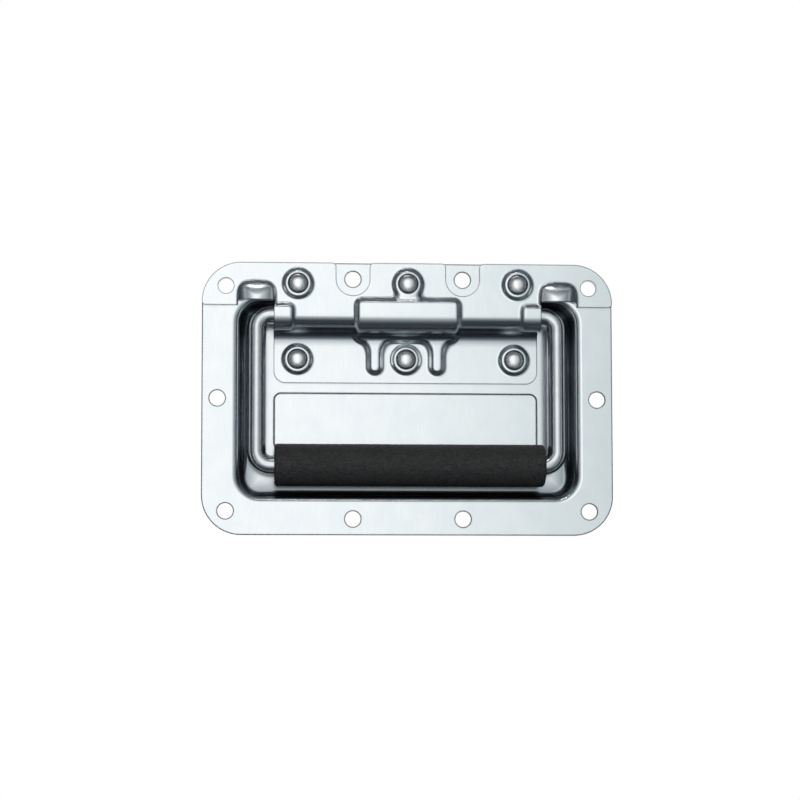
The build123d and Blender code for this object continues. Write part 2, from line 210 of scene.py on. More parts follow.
def noise(tree: bpy.types.NodeTree, scale: float, detail: float, stretch: Triple) -> bpy.types.NodeSocket:
    """Add a noise texture on Object coordinates.

    Args:
        tree: The material's node tree.
        scale: Cells per metre.
        detail: Octaves.
        stretch: Scale along each axis.

    Returns:
        The noise's value.
    """
    where = tree.nodes.new("ShaderNodeTexCoord")
    mapping = tree.nodes.new("ShaderNodeMapping")
    mapping.inputs["Scale"].default_value = stretch
    node = tree.nodes.new("ShaderNodeTexNoise")
    node.inputs["Scale"].default_value = scale
    node.inputs["Detail"].default_value = detail
    tree.links.new(where.outputs["Object"], mapping.inputs["Vector"])
    tree.links.new(mapping.outputs["Vector"], node.inputs["Vector"])
    return node.outputs["Fac"]


def glow_paint(name: str, axis: str, span: Span, stops: Stops) -> bpy.types.Material:
    """Make a paint that glows by a ramp along one axis of the object.

    Args:
        name: Its name.
        axis: X, Y or Z.
        span: Start and end of the ramp on that axis, in metres.
        stops: Places from 0 to 1, and their light.

    Returns:
        The material.
    """
    paint = bpy.data.materials.new(name)
    paint.use_nodes = True
    tree = paint.node_tree
    tree.nodes.remove(tree.nodes["Principled BSDF"])
    glow = tree.nodes.new("ShaderNodeEmission")
    along = span_map(tree, coordinates(tree, "Object").outputs[axis], span, "LINEAR")
    tree.links.new(colour_ramp(tree, along, stops), glow.inputs["Color"])
    tree.links.new(glow.outputs["Emission"], tree.nodes["Material Output"].inputs["Surface"])
    return paint


# ------------------------------------------------------------------ finishes
class Grain(Enum):
    """How a finish is marked at small scale: the scale of its grain along X, Y and Z."""

    ROLLED = (1.0, 1.0, 0.06)
    DRAWN = (0.15, 1.0, 0.15)
    EVEN = (1.0, 1.0, 1.0)


@dataclass(frozen=True)
class PaintedShade:
    """Shade painted onto a sheet, with lengths in metres and colours in linear RGB: darker walls, a painted
    shadow round the floor, a darker lower lip and dark lines along the edges.

    Attributes:
        colour: Painted shade on the walls between face and floor.
        walls: Depths where the walls begin and end.
        wall_start, wall_end: How far the tone fades in and out about those depths.
        above: Heights over which it sets in, where it lies only above some line.
        rim: Half width and half height of the floor's middle, which the painted shadow round the floor
            leaves bright, where there is one.
        rim_fade: How far the painted shadow round the floor takes to set in.
        rim_depth: Depths that count as the floor, against the walls' end.
        sill_shade: Painted shade on the lower lip and wall, darker still.
        sill_height, sill_depth: Heights and depths over which the sill sets in.
        front: Normal's Y over which the painted shade on the front fades, so that the back has none.
        edge_reach: Radius of the painted shade line along a sheared edge.
        edge_turn: Cosines between which the line sets in.
        edge_shade: Colour of that painted shade line.
    """

    # Painted shade on the walls between face and floor.
    colour: RGB = (0.36, 0.405, 0.435)
    walls: Span = (0.0012, 0.0102)
    wall_start: Span = (-0.0016, 0.0012)
    wall_end: Span = (-0.0009, 0.0010)
    above: Span | None = None
    # The floor's middle, outside which a painted shadow darkens the floor's rim.
    rim: Span | None = (0.0602, 0.0308)
    rim_fade: float = 0.0072
    rim_depth: Span = (-0.0022, -0.0012)
    # Painted shade on the lower lip and wall.
    sill_shade: RGB | None = (0.10, 0.12, 0.135)
    sill_height: Span = (0.0372, 0.0402)
    sill_depth: Span = (-0.0010, 0.0006)
    front: Span = (0.02, -0.02)
    # Painted shade line along the sheared edges: its reach, where it sets in, and its colour.
    edge_reach: float = 0.0007
    edge_turn: Span = (0.998, 0.965)
    edge_shade: RGB = (0.035, 0.04, 0.043)

    def over(self, tree: bpy.types.NodeTree, colour: bpy.types.NodeSocket) -> bpy.types.NodeSocket:
        """Lay the painted shade over a colour.

        Args:
            tree: The material's node tree.
            colour: The flat sheet.

        Returns:
            The colour with the painted shade.
        """
        place = coordinates(tree, "Object")
        # Painted shade on the walls.
        share = self._on_walls(tree, place)
        if self.above is not None:
            share = maths(tree, "MULTIPLY", span_map(tree, place.outputs["Z"], self.above), share)
        # Painted shadow round the floor's rim.
        if self.rim is not None:
            share = maths(tree, "MAXIMUM", self._on_rim(tree, place), share)
        colour = blend(tree, share, colour, self.colour)
        # Painted shade on the lower lip and wall.
        if self.sill_shade is not None:
            low_side = size_map(tree, place.outputs["Z"], self.sill_height)
            past_lip = span_map(tree, place.outputs["Y"], self.sill_depth)
            inside = maths(tree, "MULTIPLY", past_lip, self._on_front(tree))
            colour = blend(tree, maths(tree, "MULTIPLY", low_side, inside), colour, self.sill_shade)
        # Painted shade line along the sheared edges.
        return blend(tree, self._on_edges(tree), colour, self.edge_shade)

    def _on_walls(self, tree: bpy.types.NodeTree, place: bpy.types.Node) -> bpy.types.NodeSocket:
        """Share of the painted shade by depth: a plateau between the walls' ends.

        Args:
            tree: The material's node tree.
            place: The object's coordinates.

        Returns:
            The share.
        """
        black, white = (0.0, 0.0, 0.0), (1.0, 1.0, 1.0)
        low, high = DEPTH_RANGE
        begin, end = self.walls
        corners = (
            (begin + self.wall_start[0], black), (begin + self.wall_start[1], white),
            (end + self.wall_end[0], white), (end + self.wall_end[1], black),
        )
        inner = tuple(((depth - low) / (high - low), level) for depth, level in corners)
        depth = span_map(tree, place.outputs["Y"], DEPTH_RANGE, "LINEAR")
        return colour_ramp(tree, depth, ((0.0, black), *inner, (1.0, black)))

    def _on_rim(self, tree: bpy.types.NodeTree, place: bpy.types.Node) -> bpy.types.NodeSocket:
        """Share of the painted shadow on the floor beside the walls, outside a rectangle.

        Args:
            tree: The material's node tree.
            place: The object's coordinates.

        Returns:
            The share.
        """
        across, up = self.rim
        sides = size_map(tree, place.outputs["X"], (across, across + self.rim_fade))
        ends = size_map(tree, place.outputs["Z"], (up, up + self.rim_fade))
        end = self.walls[1]
        depths = (end + self.rim_depth[0], end + self.rim_depth[1])
        deep = span_map(tree, place.outputs["Y"], depths, "LINEAR")
        on_floor = maths(tree, "MULTIPLY", maths(tree, "MAXIMUM", sides, ends), deep)
        return maths(tree, "MULTIPLY", on_floor, self._on_front(tree))

    def _on_front(self, tree: bpy.types.NodeTree) -> bpy.types.NodeSocket:
        """Share that is 1 where the sheet faces the front and 0 where it faces the back."""
        return span_map(tree, coordinates(tree, "Normal").outputs["Y"], self.front)

    def _on_edges(self, tree: bpy.types.NodeTree) -> bpy.types.NodeSocket:
        """Share of the painted shade line along the edges.

        The line lies where the normal, averaged over a small circle, turns away from the face's own.

        Args:
            tree: The material's node tree.

        Returns:
            The share.
        """
        rounded = tree.nodes.new("ShaderNodeBevel")
        rounded.samples = EDGE_SAMPLES
        rounded.inputs["Radius"].default_value = self.edge_reach
        face = tree.nodes.new("ShaderNodeNewGeometry")
        same = tree.nodes.new("ShaderNodeVectorMath")
        same.operation = "DOT_PRODUCT"
        tree.links.new(rounded.outputs["Normal"], same.inputs[0])
        tree.links.new(face.outputs["Normal"], same.inputs[1])
        return span_map(tree, same.outputs["Value"], self.edge_turn, "LINEAR")


@dataclass(frozen=True)
class Finish:
    """One procedural surface finish, with colours in linear RGB.

    Attributes:
        name: Name of the material, unlike any slot's.
        colour, shade: Its two tones, which drift into each other in clouds.
        roughness: Least and most, by the grain.
        cloud_scale: Clouds per metre.
        grain: Direction of the grain.
        grain_scale: Grains per metre.
        bump: Strength of the grain's bump.
        bump_depth: Its depth in metres.
        metallic: 1 for metal, 0 for anything else.
        specular: Level of the mirror-like part.
        painted_highlight: Tone of the painted highlight on what faces straight out.
        painted_shade: Shade painted on a sheet's walls, round its floor, on its lower lip and along its
            edges.
    """

    name: str
    colour: RGB
    shade: RGB
    roughness: Span
    cloud_scale: float
    grain: Grain
    grain_scale: float
    bump: float
    bump_depth: float = 0.00002
    metallic: float = 1.0
    specular: float = 0.5
    painted_highlight: RGB | None = None
    painted_shade: PaintedShade | None = None

    def material(self) -> bpy.types.Material:
        """Build the node material, or return it when it is there already.

        Returns:
            The material, on Object coordinates.
        """
        found = bpy.data.materials.get(self.name)
        if found is not None:
            return found
        made = bpy.data.materials.new(self.name)
        made.use_nodes = True
        tree = made.node_tree
        shader = tree.nodes["Principled BSDF"]
        shader.inputs["Metallic"].default_value = self.metallic
        shader.inputs["Specular IOR Level"].default_value = self.specular
        cloud = noise(tree, self.cloud_scale, CLOUD_DETAIL, Grain.EVEN.value)
        grain = noise(tree, self.grain_scale, GRAIN_DETAIL, self.grain.value)
        low, high = NOISE_RANGE
        colour = colour_ramp(tree, cloud, ((low, self.shade), (high, self.colour)))
        # Painted highlight on what faces straight out.
        if self.painted_highlight is not None:
            facing = span_map(tree, coordinates(tree, "Normal").outputs["Y"], HIGHLIGHT_FACING)
            colour = blend(tree, facing, colour, self.painted_highlight)
        # Painted shade on the walls, round the floor, on the lower lip and along the edges.
        if self.painted_shade is not None:
            colour = self.painted_shade.over(tree, colour)
        tree.links.new(colour, shader.inputs["Base Color"])
        spread = tree.nodes.new("ShaderNodeMapRange")
        for socket, value in zip(("From Min", "From Max", "To Min", "To Max"), NOISE_RANGE + self.roughness):
            spread.inputs[socket].default_value = value
        tree.links.new(grain, spread.inputs["Value"])
        tree.links.new(spread.outputs["Result"], shader.inputs["Roughness"])
        bump = tree.nodes.new("ShaderNodeBump")
        bump.inputs["Strength"].default_value = self.bump
        bump.inputs["Distance"].default_value = self.bump_depth
        tree.links.new(grain, bump.inputs["Height"])
        tree.links.new(bump.outputs["Normal"], shader.inputs["Normal"])
        return made

    def dress(self, thing: bpy.types.Object) -> None:
        """Put this finish in every material slot of an object.

        Args:
            thing: The object.
        """
        if not thing.material_slots:
            thing.data.materials.append(self.material())
        for place in thing.material_slots:
            place.material = self.material()


# The dish's sheet carries painted shade on its walls, round its floor, on its lower lip and along its edges.
ZINC_SHEET = Finish(
    name="zinc_plated_sheet", colour=(0.83, 0.875, 0.89), shade=(0.78, 0.835, 0.86), roughness=(0.205, 0.25),
    cloud_scale=90.0, grain=Grain.ROLLED, grain_scale=2600.0, bump=0.025, painted_shade=PaintedShade(),
)
# The plate's painted shade lies on its walls above a height, with no painted shadow round a floor and none
# on a lower lip.
PLATE_ZINC = replace(
    ZINC_SHEET, name="zinc_plated_plate",
    painted_shade=PaintedShade(walls=(0.0012, 0.0125), above=(0.0230, 0.0274), rim=None, sill_shade=None),
)
ZINC_ROD = Finish(
    name="zinc_plated_rod", colour=(0.76, 0.79, 0.81), shade=(0.68, 0.71, 0.735), roughness=(0.15, 0.24),
    cloud_scale=160.0, grain=Grain.DRAWN, grain_scale=3200.0, bump=0.08,
)
# The rivet domes carry a painted highlight where they face straight out.
RIVET_STEEL = Finish(
    name="domed_rivet_steel", colour=(0.58, 0.60, 0.61), shade=(0.30, 0.315, 0.325), roughness=(0.16, 0.28),
    cloud_scale=1700.0, grain=Grain.EVEN, grain_scale=3800.0, bump=0.16, painted_highlight=(0.90, 0.905, 0.91),
)
SPRING_STEEL = Finish(
    name="oiled_spring_wire", colour=(0.46, 0.47, 0.48), shade=(0.36, 0.37, 0.38), roughness=(0.22, 0.34),
    cloud_scale=300.0, grain=Grain.EVEN, grain_scale=3000.0, bump=0.1,
)
BLACK_GRIP = Finish(
    name="pebbled_black_rubber", colour=(0.022, 0.022, 0.0225), shade=(0.0025, 0.0025, 0.0028),
    roughness=(0.34, 0.52), cloud_scale=1150.0, grain=Grain.EVEN, grain_scale=1500.0, bump=1.0,
    bump_depth=0.0006, metallic=0.0,
)


# ------------------------------------------------------------------ mesh help
def smootherstep(t: np.ndarray) -> np.ndarray:
    """Rise from 0 to 1 by 6t^5 - 15t^4 + 10t^3, flat at both ends."""
    t = np.clip(t, 0.0, 1.0)
    return t * t * t * (t * (6.0 * t - 15.0) + 10.0)


def box_depth(
    x: np.ndarray, v: np.ndarray, centre: Span, half: Span, corner: float
) -> np.ndarray:
    """Depth inside a rounded rectangle.

    Formula: with q = |p - centre| - half + corner, the depth is corner - |max(q, 0)| - min(max(qx, qv), 0).

    Args:
        x: Places across.
        v: Places up.
        centre: Middle of the rectangle.
        half: Half its sides.
        corner: Corner radius.

    Returns:
        Positive inside, negative outside, in millimetres.
    """
    qx = np.abs(x - centre[0]) - half[0] + corner
    qv = np.abs(v - centre[1]) - half[1] + corner
    outside = np.hypot(np.maximum(qx, 0.0), np.maximum(qv, 0.0))
    return corner - outside - np.minimum(np.maximum(qx, qv), 0.0)


def joined_depth(first: np.ndarray, second: np.ndarray, fillet: float) -> np.ndarray:
    """Depth inside either of two outlines with a fillet where they meet.

    Formula: max(a, b) + f h^2 / 4, with h = max(f - |a - b|, 0) / f.

    Args:
        first: Depth inside one outline.
        second: Depth inside the other.
        fillet: Reach f of the fillet.

    Returns:
        The joined depth.
    """
    near = np.maximum(fillet - np.abs(first - second), 0.0) / fillet
    return np.maximum(first, second) + fillet * near * near / 4.0


def smooth_union(heights: list[np.ndarray], softness: float) -> np.ndarray:
    """Blend reliefs into one: softness * log(sum(exp(h / softness)) - (n - 1)), which keeps zero at zero.

    Args:
        heights: The n reliefs.
        softness: How far they run into each other.

    Returns:
        The one relief.
    """
    stack = np.stack(heights)
    total = np.exp(stack / softness).sum(axis=0) - (len(heights) - 1)
    return softness * np.log(np.maximum(total, 1e-9))


def new_piece(name: str, points: np.ndarray, faces: np.ndarray | list) -> bpy.types.Object:
    """Make a mesh object from arrays.

    Args:
        name: Its plain name.
        points: n by 3 places in millimetres.
        faces: Corner numbers of each face.

    Returns:
        The object, linked to the scene, at the origin.
    """
    mesh = bpy.data.meshes.new(name)
    rows = faces.tolist() if isinstance(faces, np.ndarray) else faces
    mesh.from_pydata((points * MM).tolist(), [], rows)
    mesh.update()
    piece = bpy.data.objects.new(name, mesh)
    bpy.context.scene.collection.objects.link(piece)
    return piece


def grid_faces(rows: int, columns: int, offset: int = 0, around: bool = False) -> np.ndarray:
    """Corner numbers of the quads of a grid of points, row by row.

    Args:
        rows: Number of rows of points.
        columns: Points in each row.
        offset: Number of the first point.
        around: Whether each row closes on itself.

    Returns:
        One row of four numbers for each quad.
    """
    last = columns if around else columns - 1
    i, j = np.meshgrid(np.arange(rows - 1), np.arange(last), indexing="ij")
    right = (j + 1) % columns
    corners = (i * columns + j, i * columns + right, (i + 1) * columns + right, (i + 1) * columns + j)
    return np.stack(corners, axis=-1).reshape(-1, 4) + offset


def point_outwards(mesh: bpy.types.Mesh, merge: bool) -> None:
    """Point every face outwards.

    Args:
        mesh: The mesh.
        merge: Whether points that coincide are merged first.
    """
    work = bmesh.new()
    work.from_mesh(mesh)
    if merge:
        bmesh.ops.remove_doubles(work, verts=work.verts, dist=MERGE_DISTANCE)
    bmesh.ops.recalc_face_normals(work, faces=work.faces)
    work.to_mesh(mesh)
    work.free()


def finish_mesh(piece: bpy.types.Object, sharp_degrees: float = 38.0) -> None:
    """Merge doubles, point faces outwards, and shade smooth up to an angle.

    Args:
        piece: The piece.
        sharp_degrees: Least angle of an edge that stays sharp.
    """
    point_outwards(piece.data, merge=True)
    piece.data.polygons.foreach_set("use_smooth", np.ones(len(piece.data.polygons), dtype=bool))
    piece.data.set_sharp_from_angle(angle=math.radians(sharp_degrees))
    piece.data.update()


def bake(piece: bpy.types.Object, change: bpy.types.Modifier) -> None:
    """Make an object's mesh what its one modifier makes of it.

    Args:
        piece: The object.
        change: The modifier, which is removed.
    """
    ready = bpy.context.evaluated_depsgraph_get()
    result = bpy.data.meshes.new_from_object(piece.evaluated_get(ready))
    piece.modifiers.remove(change)
    old = piece.data
    result.name = old.name
    piece.data = result
    bpy.data.meshes.remove(old)


def carve(piece: bpy.types.Object, tool: bpy.types.Object, operation: str) -> None:
    """Apply an exact boolean and remove the tool.

    Args:
        piece: What is cut.
        tool: What cuts it.
        operation: INTERSECT or DIFFERENCE.
    """
    change = piece.modifiers.new("cut", "BOOLEAN")
    change.operation = operation
    change.solver = "EXACT"
    change.object = tool
    bake(piece, change)
    bpy.data.objects.remove(tool, do_unlink=True)


def edge_break(piece: bpy.types.Object, width: float) -> None:
    """Round the sharp edges of a sheet by a small bevel, and apply it.

    Args:
        piece: The sheet.
        width: Bevel width in millimetres.
    """
    change = piece.modifiers.new("edge_break", "BEVEL")
    change.width = width * MM
    change.segments = BREAK_SEGMENTS
    change.limit_method = "ANGLE"
    change.angle_limit = math.radians(BREAK_ANGLE)
    change.harden_normals = False
    bake(piece, change)
    finish_mesh(piece)


def arc(centre: Span, radius: float, start: float, end: float, steps: int = 14) -> np.ndarray:
    """Points of an arc: centre + radius * (cos a, sin a), with a in degrees from start to end."""
    a = np.radians(np.linspace(start, end, steps))
    return np.column_stack((centre[0] + radius * np.cos(a), centre[1] + radius * np.sin(a)))


def slab(name: str, outline: np.ndarray, y_front: float, y_back: float) -> bpy.types.Object:
    """Make a closed block with the given outline in X and Z, between two depths.

    Args:
        name: Name of the block.
        outline: n by 2 places, in order round it.
        y_front: Its front, in millimetres.
        y_back: Its back.

    Returns:
        The block.
    """
    count = len(outline)
    front = np.column_stack((outline[:, 0], np.full(count, y_front), outline[:, 1]))
    back = np.column_stack((outline[:, 0], np.full(count, y_back), outline[:, 1]))
    ring = np.arange(count)
    after = (ring + 1) % count
    sides = np.column_stack((ring, after, after + count, ring + count)).tolist()
    ends = [ring.tolist(), (ring[::-1] + count).tolist()]
    piece = new_piece(name, np.vstack((front, back)), sides + ends)
    point_outwards(piece.data, merge=False)
    return piece


def turned(profile: np.ndarray, steps: int) -> tuple[np.ndarray, np.ndarray]:
    """Carry a profile round its axis: (r cos a, height, r sin a) for each profile point and angle.

    Args:
        profile: n by 2 radii and heights.
        steps: Number of angles.

    Returns:
        The points and the quads.
    """
    a = np.linspace(0.0, 2.0 * np.pi, steps, endpoint=False)
    radius, height = profile[:, 0][:, None], profile[:, 1][:, None]
    x = radius * np.cos(a)[None, :]
    z = radius * np.sin(a)[None, :]
    y = np.broadcast_to(height, x.shape)
    return np.stack((x, y, z), axis=-1).reshape(-1, 3), grid_faces(len(profile), steps, around=True)


# ------------------------------------------------------------------ hinge plate
@dataclass
class HingePlate:
    """The pressed plate over the bail's ends: one sheet carried along a bent profile, with relief.

    Each pressed form has its place and size, a rise out of the sheet and a flank, which is how far its
    slope reaches in from its outline.
    """

    top: float = 57.0
    sheet: float = 1.2
    hinge_z: float = 35.9
    hinge_y: float = 3.1
    roll: float = 5.5
    floor_bend: float = 5.4
    foot_y: float = 11.2
    foot_low: float = 7.9
    half_foot: float = 56.0
    half_flange: float = 86.0
    flange_corner: float = 16.5
    wing_low: float = 38.9
    wing_round: float = 1.4
    foot_round: float = 5.0
    notch_mouth: float = 1.6
    pitch: float = 0.5
    margin_x: float = 0.6
    margin_top: float = 0.8
    margin_low: float = 1.0
    rivet_x: float = 46.0
    rivet_upper: float = 48.1
    rivet_lower: float = 18.0
    notch_x: float = 23.0
    notch_z: float = 50.25
    notch_radius: float = 7.0
    hood_x: float = 63.2
    hood_half: float = 7.8
    hood_lip: float = 40.9
    hood_low: float = 33.0
    hood_top: float = 49.9
    hood_reach: float = 8.7
    hood_power: float = 3.2
    hood_rise: float = 3.1
    hood_flank: float = 0.34
    hump_half: float = 22.9
    hump_low: float = 24.6
    hump_top: float = 42.8
    hump_corner: float = 3.8
    hump_rise: float = 2.2
    hump_flank: float = 3.0
    rib_x: float = 13.2
    rib_half: float = 4.2
    rib_low: float = 10.7
    rib_top: float = 25.6
    rib_corner: float = 4.1
    rib_fillet: float = 6.5
    neck_middle: float = 43.2
    neck_size: Span = (3.6, 4.5)
    neck_corner: float = 1.5
    neck_fillet: float = 4.0
    neck_flank: float = 2.2
    boss_radius: float = 7.0
    boss_rise: float = 1.5
    boss_flank: float = 2.1
    collar_centre: Span = (52.6, 30.9)
    collar_size: Span = (6.1, 9.8)
    collar_corner: float = 3.4
    collar_rise: float = 1.3
    collar_flank: float = 3.0
    softness: float = 0.22
    broken_edge: float = 0.55
    hole_x: float = 76.0
    hole_z: float = 47.0
    hole_radius: float = 3.25
    hole_steps: int = 48
    cut_depths: Span = (-20.0, 30.0)
    drill_depths: Span = (-20.0, 20.0)

    def profile(self, v: np.ndarray) -> tuple[np.ndarray, np.ndarray, np.ndarray, np.ndarray]:
        """Follow the bent sheet.

        v falls by one for each millimetre along the sheet and equals z on the flat.  The sheet is flat
        down to the hinge, rolls a quarter turn over the rod, runs back as a wall, turns through a
        hollow quarter and lies on the floor.

        Args:
            v: Places along the sheet.

        Returns:
            y, z, and the outward normal's y and z.
        """
        quarter = self.roll * np.pi / 2
        wall_end = self.foot_y - self.floor_bend
        wall = wall_end - self.hinge_y
        hollow = self.floor_bend * np.pi / 2
        s = self.hinge_z - v
        a = np.clip(s / self.roll, 0.0, np.pi / 2)
        b = np.clip((s - quarter - wall) / self.floor_bend, 0.0, np.pi / 2)
        on_wall = np.clip(s - quarter, 0.0, wall)
        on_foot = np.maximum(s - quarter - wall - hollow, 0.0)
        y = self.hinge_y - self.roll * np.cos(a) + on_wall + self.floor_bend * np.sin(b)
        z = self.hinge_z - self.roll * np.sin(a) - self.floor_bend * (1.0 - np.cos(b)) - on_foot
        z = z + np.maximum(-s, 0.0)
        turn = a - b
        return y, z, -np.cos(turn), -np.sin(turn)

    def foot_shift(self) -> float:
        """How much lower v is than z on the foot.

        Returns:
            The difference in millimetres.
        """
        path = self.roll * np.pi / 2 + (self.foot_y - self.floor_bend - self.hinge_y)
        path += self.floor_bend * np.pi / 2
        return path - self.roll - self.floor_bend

    def relief(self, x: np.ndarray, v: np.ndarray) -> np.ndarray:
        """Height of the pressed forms.

        Each form is its rise times a soft step of the depth inside its outline over its flank, and a
        hood is a dome, 1 - (across^n + along^n)^(2 / n), softened at its foot.

        Args:
            x: Places across.
            v: Places along the sheet.

        Returns:
            Heights out of the sheet, in millimetres.
        """
        side = np.abs(x)
        shift = self.foot_shift()
        hump_span = (self.hump_low - shift, self.hump_top)
        rib_span = (self.rib_low - shift, self.rib_top)
        hump = self._upright(x, v, 0.0, self.hump_half, hump_span, self.hump_corner)
        ribs = self._upright(side, v, self.rib_x, self.rib_half, rib_span, self.rib_corner)
        forms = [self.hump_rise * smootherstep(joined_depth(hump, ribs, self.rib_fillet) / self.hump_flank)]
        neck = box_depth(x, v, (0.0, self.neck_middle), self.neck_size, self.neck_corner)
        top_boss = self.boss_radius - np.hypot(x, v - self.rivet_upper)
        waist = joined_depth(joined_depth(neck, top_boss, self.neck_fillet), hump, self.neck_fillet)
        forms.append(self.boss_rise * smootherstep(waist / self.neck_flank))
        for centre_v in (self.rivet_upper, self.rivet_lower - shift):
            for centre_x in (0.0, self.rivet_x):
                boss = self.boss_radius - np.hypot(side - centre_x, v - centre_v)
                forms.append(self.boss_rise * smootherstep(boss / self.boss_flank))
        collar = box_depth(side, v, self.collar_centre, self.collar_size, self.collar_corner)
        forms.append(self.collar_rise * smootherstep(collar / self.collar_flank))
        hood_middle = (self.hood_top + self.hood_low) / 2
        across = np.abs(side - self.hood_x) / self.hood_reach
        along = np.abs(v - hood_middle) / (self.hood_top - hood_middle)
        power = self.hood_power
        dome = np.clip(1.0 - (across**power + along**power) ** (2.0 / power), 0.0, 1.0)
        forms.append(self.hood_rise * dome * smootherstep(dome / self.hood_flank))
        return smooth_union(forms, self.softness)

    @staticmethod
    def _upright(
        x: np.ndarray, v: np.ndarray, middle: float, half: float, span: Span, corner: float
    ) -> np.ndarray:
        """Depth inside an upright rounded rectangle.

        Args:
            x: Places across.
            v: Places along the sheet.
            middle: Its middle across.
            half: Its half width.
            span: Its low and high end along the sheet.
            corner: Its corner radius.

        Returns:
            Depths inside the outline, negative outside it, in millimetres.
        """
        low, high = span
        return box_depth(x, v, (middle, (low + high) / 2), (half, (high - low) / 2), corner)

    def blank(self) -> np.ndarray:
        """Outline of the plate seen from the front, anticlockwise from the right end of the foot.

        Returns:
            n by 2 places in X and Z.
        """
        c, f, w, r = self.flange_corner, self.half_foot, self.half_flange, self.notch_radius
        mouth, foot_round, wing_round = self.notch_mouth, self.foot_round, self.wing_round
        outer = self.hood_x + self.hood_half
        right = [
            arc((f - foot_round, self.foot_low + foot_round), foot_round, -90.0, 0.0),
            np.array([[f, self.hood_lip], [outer, self.hood_lip], [outer, self.wing_low]]),
            arc((w - wing_round, self.wing_low + wing_round), wing_round, -90.0, 0.0, steps=6),
            arc((w - c, self.top - c), c, 0.0, 90.0, steps=26),
            arc((self.notch_x + r + mouth, self.top - mouth), mouth, 90.0, 180.0, steps=8),
            arc((self.notch_x, self.notch_z), r, 0.0, -180.0, steps=26),
            arc((self.notch_x - r - mouth, self.top - mouth), mouth, 0.0, 90.0, steps=8),
        ]
        half = np.vstack(right)
        left = half[::-1] * np.array([-1.0, 1.0])
        return np.vstack((half, left))

    def build(self) -> bpy.types.Object:
        """Make the sheet as a closed shell, trim it to its blank and drill it.

        Returns:
            The plate.
        """
        v_low = self.foot_low - self.foot_shift() - self.margin_low
        v_high = self.top + self.margin_top
        half = self.half_flange + self.margin_x
        columns = int(2 * half / self.pitch) + 1
        rows = int((v_high - v_low) / self.pitch) + 1
        x, v = np.meshgrid(np.linspace(-half, half, columns), np.linspace(v_high, v_low, rows))
        y, z, ny, nz = self.profile(v)
        rise = self.relief(x, v)
        front = np.stack((x, y + ny * rise, z + nz * rise), axis=-1).reshape(-1, 3)
        sunk = rise - self.sheet
        back = np.stack((x, y + ny * sunk, z + nz * sunk), axis=-1).reshape(-1, 3)
        count = rows * columns
        numbers = np.arange(count).reshape(rows, columns)
        rim = np.concatenate((numbers[0], numbers[1:, -1], numbers[-1, -2::-1], numbers[-2:0:-1, 0]))
        after = np.roll(rim, -1)
        sides = np.column_stack((rim, after, after + count, rim + count))
        faces = np.vstack((grid_faces(rows, columns), grid_faces(rows, columns, count)[:, ::-1], sides))
        plate = new_piece("hinge_plate_pressed", np.vstack((front, back)), faces)
        finish_mesh(plate)
        carve(plate, slab("blank", self.blank(), *self.cut_depths), "INTERSECT")
        round_end = 360.0 - 360.0 / self.hole_steps
        for hole_x in (-self.hole_x, self.hole_x):
            ring = arc((hole_x, self.hole_z), self.hole_radius, 0.0, round_end, self.hole_steps)
            carve(plate, slab("drill", ring, *self.drill_depths), "DIFFERENCE")
        finish_mesh(plate)
        edge_break(plate, self.broken_edge)
        PLATE_ZINC.dress(plate)
        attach(plate, "housing")
        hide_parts("hinge_plate")
        return plate


# ------------------------------------------------------------------ grip
@dataclass
class Grip:
    """The moulded sleeve on the bail, with a pebbled skin."""

    radius: float = 8.82
    half_length: float = 56.7
    bore: float = 4.05
    axis_y: float = 3.1
    axis_z: float = -27.5
    middle_x: float = 1.0
    end_round: float = 1.3
    relief: float = 0.075
    waves: int = 60
    wave_numbers: Span = (4.2, 6.6)
    wave_share: float = 5.0
    skin_depth: float = 0.5
    bore_land: float = 0.5
    face_land: float = 0.6
    sharp_degrees: float = 60.0
    around: int = 190
    along: int = 330
    seed: int = 7

    def profile(self) -> np.ndarray:
        """Bore, flat end, rounded edge, long skin, and the same back: radii and places along the axis.

        Returns:
            n by 2 places.
        """
        r, h, e = self.radius, self.half_length, self.end_round
        right = arc((h - e, r - e), e, 0.0, 90.0, steps=9)[:, ::-1]
        skin = np.column_stack((np.full(self.along, r), np.linspace(h - e, e - h, self.along)))
        left = arc((e - h, r - e), e, 90.0, 180.0, steps=9)[:, ::-1]
        face = np.array([[self.bore, h], [self.bore + self.bore_land, h], [r - e - self.face_land, h]])
        other = face[::-1] * np.array([1.0, -1.0])
        return np.vstack((face, right, skin[1:-1], left, other))

    def build(self) -> bpy.types.Object:
        """Carry the profile round the axis and raise the skin by pebbles.

        Formula: the lift is the relief times tanh(sum / share) of a sum of random plane waves.

        Returns:
            The grip.
        """
        profile = self.profile()
        points, faces = turned(profile, self.around)
        radial = np.hypot(points[:, 0], points[:, 2])
        unit = np.column_stack((points[:, 0], points[:, 2])) / radial[:, None]
        rng = np.random.default_rng(self.seed)
        skin = np.clip((radial - self.radius + self.skin_depth) / self.skin_depth, 0.0, 1.0)
        space = np.column_stack((points[:, 1], points[:, 0], points[:, 2]))
        waves = rng.normal(size=(self.waves, 3))
        waves *= (rng.uniform(*self.wave_numbers, self.waves) / np.linalg.norm(waves, axis=1))[:, None]
        phases = rng.uniform(0.0, 2 * np.pi, self.waves)
        pebbles = np.tanh(np.cos(space @ waves.T + phases).sum(axis=1) / self.wave_share)
        across = radial + self.relief * pebbles * skin
        y, z = self.axis_y + unit[:, 0] * across, self.axis_z + unit[:, 1] * across
        placed = np.column_stack((self.middle_x + points[:, 1], y, z))
        ring = np.arange(self.around)
        after = (ring + 1) % self.around
        last = (len(profile) - 1) * self.around
        bore = np.column_stack((ring, after, after + last, ring + last))
        sleeve = new_piece("grip_sleeve", placed, np.vstack((faces, bore)))
        finish_mesh(sleeve, self.sharp_degrees)
        BLACK_GRIP.dress(sleeve)
        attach(sleeve, "bail")
        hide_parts("grip")
        return sleeve


